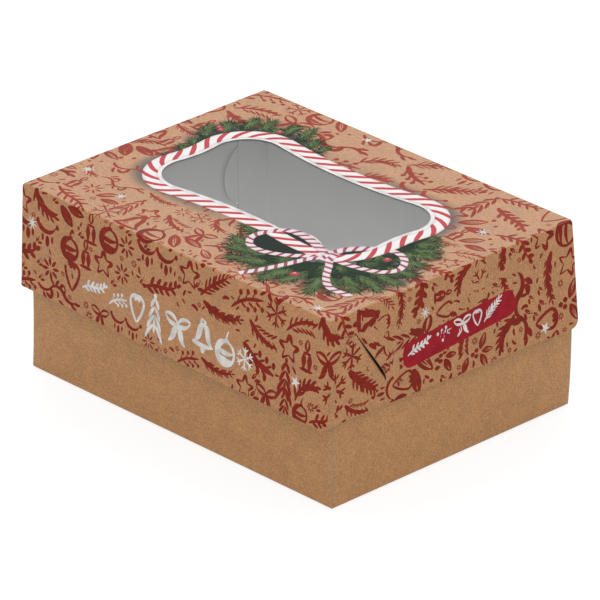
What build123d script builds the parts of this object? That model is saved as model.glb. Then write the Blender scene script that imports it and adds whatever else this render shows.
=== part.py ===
from build123d import *
import os

os.makedirs("parts", exist_ok=True)

# A carton for sweets, folded from one sheet of kraft-lined board: a tray and a lid on one crease.
# +X runs along the length to the right-hand end, +Y to the crease at the back, +Z up.
# The origin is the middle of the tray's underside.

# Board, film and clearances
board = 0.4  # thickness of the sheet
film = 0.15  # thickness of the clear window film
fold_gap = 0.1  # between two panels at a crease
lock_gap = 0.15  # between layers that lie on each other at a lock
run_gap = 0.3  # between the lid and the tray
overrun = 2.0  # how far a cut runs past what it cuts

# The closed carton
lid_length = 200.0  # over the two side skirts, at their creases
lid_depth = 151.0  # from the front skirt's face to the hinge crease
closed_height = 93.0
skirt_height = 50.7
front_slack = 2.2  # room between the tray's front wall and the front skirt

# How far the lower edge of a skirt springs out past its crease
front_lean_left = 2.0
front_lean_right = 6.0
left_lean_back = 3.0
right_lean_back = 5.2
skirt_corner_radius = 4.0
skirt_back_clear = 0.5  # between a side skirt's free end and the hinge crease

# Window, with sides that pull in between rounded corners. Its length and width are those of the
# corners before they are rounded.
window_length = 153.0
window_width = 78.8
window_x = -4.8
window_back_rim = 32.4  # between those corners and the hinge crease
window_side_waist = 11.3  # how far a long side pulls in
window_end_waist = 14.0
window_corner_radius = 17.0
bow_corner_radius = 30.0  # the front right corner, beside the printed bow
bow_loop_radius = 21.7  # the board reaches in under a loop of the bow, about this middle
bow_loop_x = 34.4
bow_loop_y = 45.7
film_length = 149.0
film_width = 82.0
film_corner_radius = 3.0

# Corner locks of the tray: a flap outside the end wall whose rounded tab goes in through a slit
lock_reach = 20.0  # from the corner to the slit
tab_height = 29.0
tab_bulge = 10.4
tab_centre_z = 56.0
lock_foot_z = 46.0  # bottom and top of the flap at the corner
lock_head_z = 80.0
tray_slit_slack = 0.5  # the slit is this much longer than the tab at each end

# Front ears of the lid: outside the side skirts, with tips that go in through slanted slits
slit_top_reach = 14.0  # from the lid's front face
slit_top_drop = 9.6  # from the lid's top
slit_bottom_reach = 33.0
slit_bottom_drop = 38.8
lid_slit_slack = 2.0
ear_shoulder_reach = 5.5  # the hollow of the ear's upper edge
ear_shoulder_drop = 8.5
ear_head_drop = 1.0
ear_foot_reach = 20.5
tip_bulge = 8.0

# Places worked out from the sizes
side_stack = 3 * board + 2 * lock_gap + run_gap
tray_length = lid_length - 2 * side_stack
tray_depth = lid_depth - board - front_slack
hinge_y = tray_depth / 2
lid_front_y = hinge_y - lid_depth
lid_under_z = closed_height - board
wall_foot_z = board + fold_gap
wall_top_z = lid_under_z - run_gap
skirt_top_z = lid_under_z - fold_gap
skirt_foot_z = closed_height - skirt_height
window_y = hinge_y - window_back_rim - window_width / 2
slit_width = board + 2 * lock_gap
ear_outer = lock_gap + board  # outer face of an ear, past the side skirt's outer face
tip_inner = -2 * board - lock_gap  # inner face of its tip


def keep(piece, name):
    """Label a finished piece and write it under its own name."""
    piece.part.label = name
    export_step(piece.part, f"parts/{name}.step")


# Tray bottom
with BuildPart() as tray_bottom:
    with BuildSketch():
        Rectangle(tray_length, tray_depth)
    extrude(amount=board)
keep(tray_bottom, "tray_bottom")

# Front and back walls of the tray, over its whole length
for name, end in (("tray_front_wall", -1), ("tray_back_wall", 1)):
    with BuildPart() as long_wall:
        with BuildSketch(Plane.XY.offset(wall_foot_z)):
            with Locations((0, end * (tray_depth - board) / 2)):
                Rectangle(tray_length, board)
        extrude(amount=wall_top_z - wall_foot_z)
    keep(long_wall, name)

# End walls of the tray, between the long ones, each with a slit near both ends
for name, side in (("tray_left_wall", -1), ("tray_right_wall", 1)):
    with BuildPart() as end_wall:
        with BuildSketch(Plane.YZ.offset(side * (tray_length / 2 - board))):
            with Locations((0, (wall_foot_z + wall_top_z) / 2)):
                Rectangle(tray_depth - 2 * (board + fold_gap), wall_top_z - wall_foot_z)
            for end in (-1, 1):
                with Locations((end * (tray_depth / 2 - lock_reach), tab_centre_z)):
                    Rectangle(slit_width, tab_height + 2 * tray_slit_slack, mode=Mode.SUBTRACT)
        extrude(amount=side * board)
    keep(end_wall, name)

# Corner locks of the tray
flap_x = tray_length / 2 + lock_gap
tab_x = tray_length / 2 - 2 * board - lock_gap
tab_foot_z = tab_centre_z - tab_height / 2
tab_head_z = tab_centre_z + tab_height / 2
for end_name, end in (("front", -1), ("back", 1)):
    for side_name, side in (("left", -1), ("right", 1)):
        corner_y = end * tray_depth / 2
        slit_y = end * (tray_depth / 2 - lock_reach)
        neck_outer_y = slit_y - end * board / 2
        neck_inner_y = slit_y + end * board / 2
        with BuildPart() as lock:
            with BuildSketch(Plane.YZ.offset(side * flap_x)):
                with BuildLine():
                    Polyline(
                        (corner_y, lock_foot_z),
                        (neck_outer_y, tab_foot_z),
                        (neck_outer_y, tab_head_z),
                        (corner_y, lock_head_z),
                        close=True,
                    )
                make_face()
            extrude(amount=side * board)
            with BuildSketch(Plane.YZ.offset(side * tab_x)):
                with Locations((slit_y, tab_centre_z)):
                    Rectangle(board, tab_height)
            extrude(amount=side * (flap_x + board - tab_x))
            with BuildSketch(Plane.YZ.offset(side * tab_x)):
                with BuildLine():
                    ThreePointArc(
                        (neck_inner_y, tab_foot_z),
                        (slit_y - end * tab_bulge, tab_centre_z),
                        (neck_inner_y, tab_head_z),
                    )
                    Line((neck_inner_y, tab_head_z), (neck_inner_y, tab_foot_z))
                make_face()
            extrude(amount=side * board)
        keep(lock, f"tray_{end_name}_{side_name}_lock")

# Outline of the window, waisted on all four sides
with BuildSketch() as window:
    half_l = window_length / 2
    half_w = window_width / 2
    with Locations((window_x, window_y)):
        with BuildLine():
            ThreePointArc((-half_l, -half_w), (0, window_side_waist - half_w), (half_l, -half_w))
            ThreePointArc((half_l, -half_w), (half_l - window_end_waist, 0), (half_l, half_w))
            ThreePointArc((half_l, half_w), (0, half_w - window_side_waist), (-half_l, half_w))
            ThreePointArc((-half_l, half_w), (window_end_waist - half_l, 0), (-half_l, -half_w))
        make_face()
    fillet(window.vertices().sort_by(lambda v: v.X - v.Y)[:-1], radius=window_corner_radius)
    fillet(window.vertices().sort_by(lambda v: v.X - v.Y)[-1], radius=bow_corner_radius)
    with Locations((window_x + bow_loop_x, window_y - bow_loop_y)):
        Circle(bow_loop_radius, mode=Mode.SUBTRACT)

# Lid top
with BuildPart() as lid_top:
    with BuildSketch(Plane.XY.offset(lid_under_z)):
        with Locations((0, (hinge_y + lid_front_y) / 2)):
            Rectangle(lid_length, lid_depth)
        add(window.sketch, mode=Mode.SUBTRACT)
    extrude(amount=board)
keep(lid_top, "lid_top")

# Clear film, glued under the lid top round the window
with BuildPart() as window_film:
    with BuildSketch(Plane.XY.offset(lid_under_z - film)):
        with Locations((window_x, window_y)):
            RectangleRounded(film_length, film_width, film_corner_radius)
    extrude(amount=film)
keep(window_film, "window_film")

# Front skirt, whose two ends cover the front edges of the ears
skirt_end_x = lid_length / 2 + ear_outer
with BuildPart() as lid_front_skirt:
    for x, lean in ((-skirt_end_x, front_lean_left), (skirt_end_x, front_lean_right)):
        with BuildSketch(Plane.YZ.offset(x)):
            with BuildLine():
                Polyline(
                    (lid_front_y, skirt_top_z),
                    (lid_front_y + board, skirt_top_z),
                    (lid_front_y + board - lean, skirt_foot_z),
                    (lid_front_y - lean, skirt_foot_z),
                    close=True,
                )
            make_face()
    loft(ruled=True)
keep(lid_front_skirt, "lid_front_skirt")


def side_sheet(side, lean_back, inner, outer):
    """A hanging sheet along one end of the lid, between two depths from the side skirt's face.

    It hangs straight in front of the lid and leans out steadily towards the hinge crease.
    """
    front_reach = front_lean_right + overrun
    with BuildPart() as sheet:
        for y, lean in ((lid_front_y - front_reach, 0), (hinge_y, lean_back)):
            with BuildSketch(Plane.XZ.offset(-y)):
                with BuildLine():
                    Polyline(
                        (side * (lid_length / 2 + inner), skirt_top_z),
                        (side * (lid_length / 2 + outer), skirt_top_z),
                        (side * (lid_length / 2 + outer + lean), skirt_foot_z),
                        (side * (lid_length / 2 + inner + lean), skirt_foot_z),
                        close=True,
                    )
                make_face()
        loft(ruled=True)
    return sheet.part


# The slanted slit's own plane: x down the slit, y towards the tip
slit_run = slit_bottom_reach - slit_top_reach
slit_fall = slit_bottom_drop - slit_top_drop
slit_length = (slit_run**2 + slit_fall**2) ** 0.5
slit_mid_y = lid_front_y + (slit_top_reach + slit_bottom_reach) / 2
slit_mid_z = closed_height - (slit_top_drop + slit_bottom_drop) / 2
slit_plane = Plane(
    origin=(0, slit_mid_y, slit_mid_z), x_dir=(0, slit_run, -slit_fall), z_dir=(1, 0, 0)
)


def side_half(side, lean_back, inner, outer, half):
    """The stretch of a side sheet on one side of the slanted slit, clear of an ear's neck."""
    sheet = side_sheet(side, lean_back, inner, outer)
    with BuildPart() as stretch:
        add(sheet)
        with BuildSketch(slit_plane):
            with Locations((0, half * (board + lid_depth) / 2)):
                Rectangle(2 * lid_depth, lid_depth)
        extrude(amount=side * lid_length, mode=Mode.INTERSECT)
    return stretch.part


# Side skirts, free at the back, with the slanted slit near the front
crease_y = lid_front_y + board + fold_gap
back_edge_y = hinge_y - skirt_back_clear
for name, side, lean_back in (
    ("lid_left_skirt", -1, left_lean_back),
    ("lid_right_skirt", 1, right_lean_back),
):
    sheet = side_sheet(side, lean_back, -board, 0)
    with BuildPart() as side_skirt:
        add(sheet)
        with BuildSketch(Plane.YZ) as outline:
            with BuildLine():
                Polyline(
                    (crease_y, skirt_foot_z),
                    (crease_y, skirt_top_z),
                    (back_edge_y, skirt_top_z),
                    (back_edge_y, skirt_foot_z),
                    close=True,
                )
            make_face()
            fillet(outline.vertices().sort_by(lambda v: v.Y - v.Z)[-1], radius=skirt_corner_radius)
        extrude(amount=side * lid_length, mode=Mode.INTERSECT)
        with BuildSketch(slit_plane):
            Rectangle(slit_length, slit_width)
        extrude(amount=side * lid_length, mode=Mode.SUBTRACT)
    keep(side_skirt, name)

# Ears of the front skirt
neck_half = slit_length / 2 - lid_slit_slack
neck_top = slit_plane.from_local_coords(Vector(-neck_half, 0, 0))
neck_foot = slit_plane.from_local_coords(Vector(neck_half, 0, 0))
tip_middle = slit_plane.from_local_coords(Vector(0, tip_bulge, 0))
head_z = closed_height - ear_head_drop
for name, side, lean_back, front_lean in (
    ("lid_left_ear", -1, left_lean_back, front_lean_left),
    ("lid_right_ear", 1, right_lean_back, front_lean_right),
):
    sheet = side_sheet(side, lean_back, tip_inner, ear_outer)
    under_flap = side_half(side, lean_back, tip_inner - overrun, ear_outer - board, -1)
    over_tip = side_half(side, lean_back, tip_inner + board, ear_outer + overrun, 1)
    head_y = crease_y - front_lean * (skirt_top_z - head_z) / (skirt_top_z - skirt_foot_z)
    with BuildPart() as ear:
        add(sheet)
        with BuildSketch(Plane.YZ):
            with BuildLine():
                ThreePointArc(
                    (head_y, head_z),
                    (lid_front_y + ear_shoulder_reach, closed_height - ear_shoulder_drop),
                    (neck_top.Y, neck_top.Z),
                )
                ThreePointArc(
                    (neck_top.Y, neck_top.Z),
                    (tip_middle.Y, tip_middle.Z),
                    (neck_foot.Y, neck_foot.Z),
                )
                Polyline(
                    (neck_foot.Y, neck_foot.Z),
                    (lid_front_y + ear_foot_reach, skirt_foot_z),
                    (crease_y - front_lean, skirt_foot_z),
                    (head_y, head_z),
                )
            make_face()
        extrude(amount=side * lid_length, mode=Mode.INTERSECT)
        add([under_flap, over_tip], mode=Mode.SUBTRACT)
    keep(ear, name)
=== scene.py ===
import math
import random

import bmesh
import bpy
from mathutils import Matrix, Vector

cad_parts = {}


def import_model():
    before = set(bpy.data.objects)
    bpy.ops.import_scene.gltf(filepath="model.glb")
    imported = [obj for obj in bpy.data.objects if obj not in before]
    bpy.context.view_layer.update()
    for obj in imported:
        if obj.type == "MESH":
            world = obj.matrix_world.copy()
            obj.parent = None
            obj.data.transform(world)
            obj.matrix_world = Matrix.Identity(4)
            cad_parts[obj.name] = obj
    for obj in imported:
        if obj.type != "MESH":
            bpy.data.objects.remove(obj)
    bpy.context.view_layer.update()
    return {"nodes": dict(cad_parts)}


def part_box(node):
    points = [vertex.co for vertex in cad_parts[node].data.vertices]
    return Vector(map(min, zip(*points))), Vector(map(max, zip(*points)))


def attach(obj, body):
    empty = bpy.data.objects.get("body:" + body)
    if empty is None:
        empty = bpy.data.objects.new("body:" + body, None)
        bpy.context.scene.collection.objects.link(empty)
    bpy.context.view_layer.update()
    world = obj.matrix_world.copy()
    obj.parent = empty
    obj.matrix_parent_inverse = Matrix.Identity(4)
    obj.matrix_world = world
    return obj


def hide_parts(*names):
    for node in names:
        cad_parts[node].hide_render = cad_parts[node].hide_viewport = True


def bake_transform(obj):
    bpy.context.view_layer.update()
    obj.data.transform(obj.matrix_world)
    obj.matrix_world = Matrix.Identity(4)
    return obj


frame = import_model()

# The looks of a folded kraft carton for sweets: a plain tray, and a printed lid on the same sheet.
# Flat work is done in millimetres on the blank: u along the front, v towards the back, and lift off
# the board's outer face. Folding then puts it round the box, in metres.
MM = 0.001


def corners(node):
    """A CAD node's lowest and highest corner in millimetres."""
    low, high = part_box(node)
    return low / MM, high / MM


lid_low, lid_high = corners("lid_top")
skirt_low, skirt_high = corners("lid_front_skirt")
tray_high = corners("tray_bottom")[1]

# The board and its folds
BOARD = lid_high.z - lid_low.z
INK_ROOM = 0.095  # the ink's layers lie within the board's own thickness
SHEET = BOARD - INK_ROOM - 0.01
CREASE = 1.3  # radius of the outer face at a crease
FLAP_FOLD = 0.4  # and where a flap turns in behind a wall
ARC_LINES = 6
BEYOND_ARC = 1.8  # where the lines beside an arc are, in radii from its middle
LID_GRID, TRAY_GRID, HINGE_GRID = 6.0, 8.0, 12.0  # how far apart a sheet's other lines are
SHARP = math.radians(30.0)  # an edge that is turned more is drawn sharp

# The print's slabs, and how high each lies off the board
INK_DEPTH = 0.004  # share of a stroke's half width
CREASE_REACH = 5.0  # how near a crease the print is scored for it
STROKE_STEP, NEEDLE_STEP = 0.0002, 0.0001  # steps in height that keep crossing strokes apart
LIFT = {"red": 0.006, "fir_shadow": 0.018, "slit": 0.02, "tag": 0.02, "fir_needles": 0.024, "fir_tips": 0.03,
        "white": 0.03, "tag_row": 0.034, "bow_shade": 0.037, "berry": 0.045, "rim": 0.05, "right_loop": 0.056,
        "border": 0.062, "left_loop": 0.068, "tail": 0.073, "wrap": 0.084}

# The lid
TOP = lid_high.z - INK_ROOM
HALF = lid_high.x
FRONT = lid_low.y
BACK = lid_high.y
DROP = TOP - skirt_low.z
CORNER = skirt_high.x  # where the front skirt turns into an ear
LEAN_FRONT_RIGHT = FRONT - skirt_low.y
LEAN_FRONT_LEFT = 2.0
LEAN_BACK = {-1: -HALF - corners("lid_left_skirt")[0].x, 1: corners("lid_right_skirt")[1].x - HALF}
SKIRT_CORNER = 4.0
BACK_EDGE = BACK - CREASE
SPRING_RUN = DROP / 3  # how far past its crease a skirt is at full spring
PANEL_RIM = (10.0, 20.0)  # the window is further in, from the sides and from front and back

# The slanted slits and the ears, as reach from the lid's front and drop from its top
SLIT_TOP = (14.0, 9.6)
SLIT_FOOT = (33.0, 38.8)
SLIT_LENGTH = math.dist(SLIT_TOP, SLIT_FOOT)
SLIT_RUN, SLIT_FALL = ((b - a) / SLIT_LENGTH for a, b in zip(SLIT_TOP, SLIT_FOOT))
SLIT_SLACK = 2.0
SLIT_OPEN_TOP = 0.45
SLIT_OPEN_FOOT = 0.8
EAR_HEAD = (0.0, 1.0)
EAR_SHOULDER = (5.5, 8.5)
EAR_FOOT_REACH = 20.5
TIP_BULGE = 8.0
TUCK = 1.1  # how far a tip goes in, from the ear's plane
TUCK_RUN = 0.8  # half the length over which it goes in
TUCK_STEPS = [TUCK_RUN * (i / 3 - 1) for i in range(7)]
GAPE = 1.4  # how far the skirt stands off beyond a slit, at most
GAPE_SPREAD = 12.0  # how far from the slit it does
GAPE_ENDS = (0.7, 0.2)  # shares of the slit over which this comes and goes

# The tray
TRAY_X = tray_high.x
TRAY_Y = tray_high.y
WALL = corners("tray_front_wall")[1].z
TRAY_CORNER = corners("tray_front_right_lock")[1].x
LOCK_REACH = 20.0
LOCK_FOOT = 46.0
LOCK_HEAD = 80.0
TAB_MIDDLE = 56.0
TAB_HALF = 14.5
TAB_BULGE = 10.4
TAB_SLIT_HALF = 15.0
TAB_SLIT_OPEN = 0.4
TAB_CURL = 1.0  # how much further its tip stands off, as a share of the tuck
WALL_GAP = 0.2

# The window
WINDOW_HALF = (76.5, 39.4)
WINDOW_MIDDLE = Vector((-4.8, BACK - 32.4 - WINDOW_HALF[1]))
WAISTS = (11.3, 14.0)  # of the long sides and of the ends
WINDOW_CORNERS = (20.0, 17.0, 17.0, 17.0)  # front right, back right, back left, front left
UNDER_BOW = [(Vector((29.6, -43.3)), 21.7), (Vector((118.0, -56.0)), 75.0)]  # rounds of board under its loops


# Plain geometry on the blank

def polar(x, y, reach, turns):
    """The place at some reach from another, in a direction given in turns."""
    return x + reach * math.cos(math.tau * turns), y + reach * math.sin(math.tau * turns)


def smooth(share):
    share = min(max(share, 0.0), 1.0)
    return share * share * (3 - 2 * share)


def arc_through(a, b, c, steps):
    """Points on the arc from a through b to c."""
    (ax, ay), (bx, by), (cx, cy) = a, b, c
    d = 2 * (ax * (by - cy) + bx * (cy - ay) + cx * (ay - by))
    sa, sb, sc = ax * ax + ay * ay, bx * bx + by * by, cx * cx + cy * cy
    mx = (sa * (by - cy) + sb * (cy - ay) + sc * (ay - by)) / d
    my = (sa * (cx - bx) + sb * (ax - cx) + sc * (bx - ax)) / d
    radius = math.hypot(ax - mx, ay - my)
    start, middle, stop = (math.atan2(y - my, x - mx) for x, y in (a, b, c))
    sweep = (stop - start) % math.tau
    if (middle - start) % math.tau > sweep:
        sweep -= math.tau
    angles = (start + sweep * i / steps for i in range(steps + 1))
    return [(mx + radius * math.cos(t), my + radius * math.sin(t)) for t in angles]


def window_loop(grow, side_steps=40, corner_steps=12):
    """The window's edge, grown outwards, anticlockwise from the front side's left end."""
    sides = []
    for side, (nx, ny) in enumerate(((0, -1), (1, 0), (0, 1), (-1, 0))):
        across, along = WINDOW_HALF[1 - side % 2], WINDOW_HALF[side % 2]
        waist = WAISTS[side % 2]
        radius = (along**2 + waist**2) / (2 * waist)
        sides.append((WINDOW_MIDDLE + Vector((nx, ny)) * (across - waist + radius), radius))
    rounds = []
    for side, radius in enumerate(WINDOW_CORNERS):
        (a, ra), (b, rb) = sides[side], sides[(side + 1) % 4]
        ra, rb, gap = ra + radius, rb + radius, (b - a).length
        along = (ra**2 - rb**2 + gap**2) / (2 * gap)
        axis = (b - a) / gap
        middle, off = a + axis * along, Vector((-axis.y, axis.x)) * math.sqrt(ra**2 - along**2)
        far = (middle + off - WINDOW_MIDDLE).length > gap
        rounds.append((middle - off if far else middle + off, radius))
    points = []
    for side in range(4):
        before, (middle, radius), after = rounds[side - 1][0], sides[side], rounds[side][0]
        points += swing(middle, radius - grow, before - middle, after - middle, side_steps)
        before, (middle, radius), after = middle, rounds[side], sides[(side + 1) % 4][0]
        points += swing(middle, radius + grow, before - middle, after - middle, corner_steps)
    return points


def aperture(grow):
    """The edge that is cut: the board reaches in under the loops of the bow."""
    loop = window_loop(grow)
    for middle, radius in UNDER_BOW:
        under = [math.dist(place, middle) < radius - grow for place in loop]
        first = next(i for i in range(len(loop)) if under[i] and not under[i - 1])
        last = next(i for i in range(first, len(loop)) if not under[i])
        before, after = (Vector(loop[i]) - middle for i in (first - 1, last))
        bridge = swing(middle, radius - grow, before, after, 20)
        loop = loop[:first] + bridge[1:] + loop[last:]
    return loop


def swing(middle, radius, first, last, steps):
    """Points on a circle from one direction to another, without the last."""
    start = math.atan2(first.y, first.x)
    sweep = (math.atan2(last.y, last.x) - start + math.pi) % math.tau - math.pi
    angles = (start + sweep * i / steps for i in range(steps))
    return [(middle.x + radius * math.cos(t), middle.y + radius * math.sin(t)) for t in angles]


# Folding

def crease(past, turn, radius=CREASE):
    """Past a crease: how far out and up the outer face is, and how far it has turned."""
    reach = radius * math.tan(turn / 2)
    if past >= reach:
        return past * math.cos(turn), -past * math.sin(turn), turn
    if past <= -reach:
        return past, 0.0, 0.0
    angle = turn * (past + reach) / (2 * reach)
    return radius * math.sin(angle) - reach, radius * (math.cos(angle) - 1), angle


def leaning(past, lean):
    """A skirt's crease, where the skirt springs out by lean at its lower edge."""
    length = math.hypot(DROP, lean)
    return crease(past * length / DROP if past > 0 else past, math.atan2(DROP, lean))


def from_slit(reach, drop):
    """How far past the slanted slit a place is, on the tip's side, and its share of the way down."""
    across, down = reach - SLIT_TOP[0], drop - SLIT_TOP[1]
    return across * SLIT_FALL - down * SLIT_RUN, (across * SLIT_RUN + down * SLIT_FALL) / SLIT_LENGTH


def by_slit(along, past):
    """Reach and drop of the place this far down the slit's line and past it."""
    return (SLIT_TOP[0] + SLIT_RUN * along + SLIT_FALL * past,
            SLIT_TOP[1] + SLIT_FALL * along - SLIT_RUN * past)


def gape(reach, drop):
    """How far the skirt stands off beyond its slit, where the ear's tip goes in."""
    past, share = from_slit(reach, drop)
    if past <= 0 or drop <= 0:
        return 0.0
    ends = smooth(share / GAPE_ENDS[0]) * smooth((1 - share) / GAPE_ENDS[1])
    return GAPE * ends * smooth(1 - past / GAPE_SPREAD)


def springy(u, v):
    """The soft unevenness of a hand-folded panel."""
    return 0.16 * math.sin(u / 27 + 0.6) * math.sin(v / 21 + 1.1) + 0.07 * math.sin(u / 11 + v / 13)


def side_lean(side, y):
    return LEAN_BACK[side] * max(y - FRONT, 0.0) / (BACK - FRONT)


def front_lean(u):
    share = min(max((u + CORNER) / (2 * CORNER), 0.0), 1.0)
    return LEAN_FRONT_LEFT + (LEAN_FRONT_RIGHT - LEAN_FRONT_LEFT) * share


def past_creases(corner, ways, across, ahead, lift):
    """A point of a panel past its two creases, each given as crease() gives it."""
    (out, up, turn), (far, dip, tip), (x, y, z) = across, ahead, ways
    place = Vector((x * (corner[0] + out), y * (corner[1] + far), corner[2] + z * (up + dip)))
    normal = Vector((x * math.sin(turn) * math.cos(tip), y * math.sin(tip) * math.cos(turn),
                     z * math.cos(turn) * math.cos(tip)))
    return place + normal.normalized() * lift


def flap_normal(ways, turn, bend):
    """Which way a flap looks, past a crease of turn and round a corner by bend."""
    x, y, z = ways
    wall = math.cos(bend)
    return Vector((x * math.sin(bend), y * math.sin(turn) * wall, z * math.cos(turn) * wall)).normalized()


def fold_lid(u, v, lift):
    """A point of the lid's blank on the closed box."""
    side = 1 if u > 0 else -1
    ways = (side, -1, 1)
    past_side, past_front = abs(u) - HALF, FRONT - v
    if past_front <= 0:
        lift += springy(u, v) * smooth(past_side / SPRING_RUN) + gape(v - FRONT, past_side)
        return past_creases((HALF, -FRONT, TOP), ways, leaning(past_side, side_lean(side, v)),
                            leaning(past_front, front_lean(u)), lift)
    ahead, up, turn = leaning(past_front, front_lean(u))
    across, inward, bend = crease(abs(u) - CORNER, math.pi / 2)
    dip = crease(min(past_side, 0.0), math.pi / 2)[1] * smooth(1 - past_front / CREASE)
    place = Vector((side * (CORNER + across), FRONT - ahead - inward, TOP + up + dip))
    drop, bent = TOP - place.z, math.sin(bend)
    past = from_slit(place.y - FRONT, drop)[0]
    tuck = smooth(0.5 + past / (2 * TUCK_RUN)) if bent > 0.5 else 0.0
    place.x += side * bent * (side_lean(side, place.y) * drop / DROP - TUCK * tuck)
    lift += springy(u, v) * smooth(past_front / SPRING_RUN) * (1 - bent)
    return place + flap_normal(ways, turn, bend) * lift


def tray_warp(place):
    """The free-standing walls' own spring, none at the bottom."""
    rise = math.sin(math.pi * min(max(place.z / WALL, 0.0), 1.0) ** 0.75)
    right, back = (place.x + TRAY_X) / (2 * TRAY_X), (place.y + TRAY_Y) / (2 * TRAY_Y)
    place.x += rise * (1.6 * right**2 * back + 0.7 * (1 - right) * (1 - back))
    place.y += rise * 0.5 * (1 - right) * (1 - back)
    return place


def fold_tray(u, v, lift):
    """A point of the tray's blank on the made-up tray."""
    side, end = (1 if u > 0 else -1), (1 if v > 0 else -1)
    ways = (side, end, -1)
    past_end, past_long = abs(u) - TRAY_X, abs(v) - TRAY_Y
    ahead, up, turn = crease(past_long, math.pi / 2)
    if past_long <= 0:
        return tray_warp(past_creases((TRAY_X, TRAY_Y, 0.0), ways, crease(past_end, math.pi / 2),
                                      (ahead, up, turn), lift))
    across, inward, bend = crease(abs(u) - TRAY_CORNER, math.pi / 2, FLAP_FOLD)
    place = Vector((side * (TRAY_CORNER + across), end * (TRAY_Y + ahead + inward), -up))
    reach = past_end - LOCK_REACH
    tuck = smooth(0.5 + reach / (2 * TUCK_RUN)) + TAB_CURL * smooth(reach / TAB_BULGE)
    place.x -= side * TUCK * tuck
    return tray_warp(place + flap_normal(ways, turn, bend) * lift)


# Flat meshes and what becomes of them

def filled(loops):
    """A flat face inside the first loop and outside the others."""
    bm = bmesh.new()
    for loop in loops:
        verts = [bm.verts.new((x, y, 0)) for x, y in loop]
        for a, b in zip(verts, verts[1:] + verts[:1]):
            bm.edges.new((a, b))
    bmesh.ops.triangle_fill(bm, use_beauty=True, edges=bm.edges[:], normal=(0, 0, 1))
    return bm


def score(bm, lines, inside=lambda middle: True):
    """Cut the flat mesh along lines, each a point and a direction across it."""
    faces = [f for f in bm.faces if inside(f.calc_center_median())]
    geometry = [*{v for f in faces for v in f.verts}, *{e for f in faces for e in f.edges}, *faces]
    for point, across in lines:
        geometry = bmesh.ops.bisect_plane(bm, geom=geometry, dist=1e-5, plane_co=(*point, 0),
                                          plane_no=(*across, 0))["geom"]


def within(loop, x, y):
    """Whether a point lies inside a closed loop."""
    inside = False
    for (ax, ay), (bx, by) in zip(loop, loop[1:] + loop[:1]):
        if (ay > y) != (by > y) and x < ax + (y - ay) * (bx - ax) / (by - ay):
            inside = not inside
    return inside


def trim(bm, loop, reach=2.5):
    """Cut the flat mesh along a loop and drop what lies outside it."""
    for (ax, ay), (bx, by) in zip(loop, loop[1:] + loop[:1]):
        if math.hypot(bx - ax, by - ay) < 1e-6:
            continue
        left, right = min(ax, bx) - reach, max(ax, bx) + reach
        low, high = min(ay, by) - reach, max(ay, by) + reach
        score(bm, [((ax, ay), (by - ay, ax - bx))], lambda m: left < m.x < right and low < m.y < high)
    middles = [(face, face.calc_center_median()) for face in bm.faces]
    outside = [face for face, middle in middles if not within(loop, middle.x, middle.y)]
    bmesh.ops.delete(bm, geom=outside, context="FACES")
    bmesh.ops.holes_fill(bm, edges=[e for e in bm.edges if e.is_boundary], sides=0)


def line_at(place, axis):
    """A line across the blank, as a point and a direction across it."""
    return ((place, 0), (1, 0)) if axis == "u" else ((0, place), (0, 1))


def crease_lines(places, axis, radius=CREASE):
    """Lines over the arc of each crease, and one a little beyond it on both sides."""
    shifts = [radius * (2 * i / (ARC_LINES - 1) - 1) for i in range(ARC_LINES)]
    shifts = (-BEYOND_ARC * radius, *shifts, BEYOND_ARC * radius)
    return [line_at(place + shift, axis) for place in places for shift in shifts]


def grid_lines(low, high, step, axis):
    """Lines that share a stretch of the blank into equal strips."""
    count = max(int((high - low) / step), 1)
    return [line_at(low + (high - low) * i / count, axis) for i in range(1, count)]


def thicken(bm, depth):
    """Give a flat sheet its thickness, below its face."""
    made = bmesh.ops.extrude_face_region(bm, geom=bm.faces[:])
    bmesh.ops.translate(bm, verts=[g for g in made["geom"] if isinstance(g, bmesh.types.BMVert)],
                        vec=(0, 0, -depth))
    bmesh.ops.recalc_face_normals(bm, faces=bm.faces[:])


def lay_on(bm, fold, rise=0.0):
    """Carry a flat mesh onto the folded box."""
    for vert in bm.verts:
        vert.co = fold(vert.co.x, vert.co.y, vert.co.z + rise) * MM


def add_object(name, data):
    """A new object in the scene."""
    thing = bpy.data.objects.new(name, data)
    bpy.context.scene.collection.objects.link(thing)
    return thing


def piece(bm, name, body, finishes):
    """Make the mesh an object that rides on a body."""
    for face in bm.faces:
        face.smooth = True
    for edge in bm.edges:
        if len(edge.link_faces) == 2:
            edge.smooth = edge.calc_face_angle(0.0) < SHARP
    mesh = bpy.data.meshes.new(name)
    bm.to_mesh(mesh)
    bm.free()
    thing = add_object(name, mesh)
    for finish in finishes:
        mesh.materials.append(finish)
    if body:
        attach(thing, body)
    return thing


def make_board(bm, is_rim=lambda middle: False):
    """Give a flat sheet its thickness, its place on the blank as a UV, and its material slots.

    The slots are the outer face, the inner face, the cut edge and the window's own edge, whose darker colour
    is painted shade.
    """
    thicken(bm, SHEET)
    layer = bm.loops.layers.uv.new("blank")
    for face in bm.faces:
        face.normal_update()
        if abs(face.normal.z) > 0.5:
            face.material_index = 0 if face.normal.z > 0 else 1
        else:
            face.material_index = 3 if is_rim(face.calc_center_median()) else 2
        for corner in face.loops:
            corner[layer].uv = (corner.vert.co.x * MM, corner.vert.co.y * MM)


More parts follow.
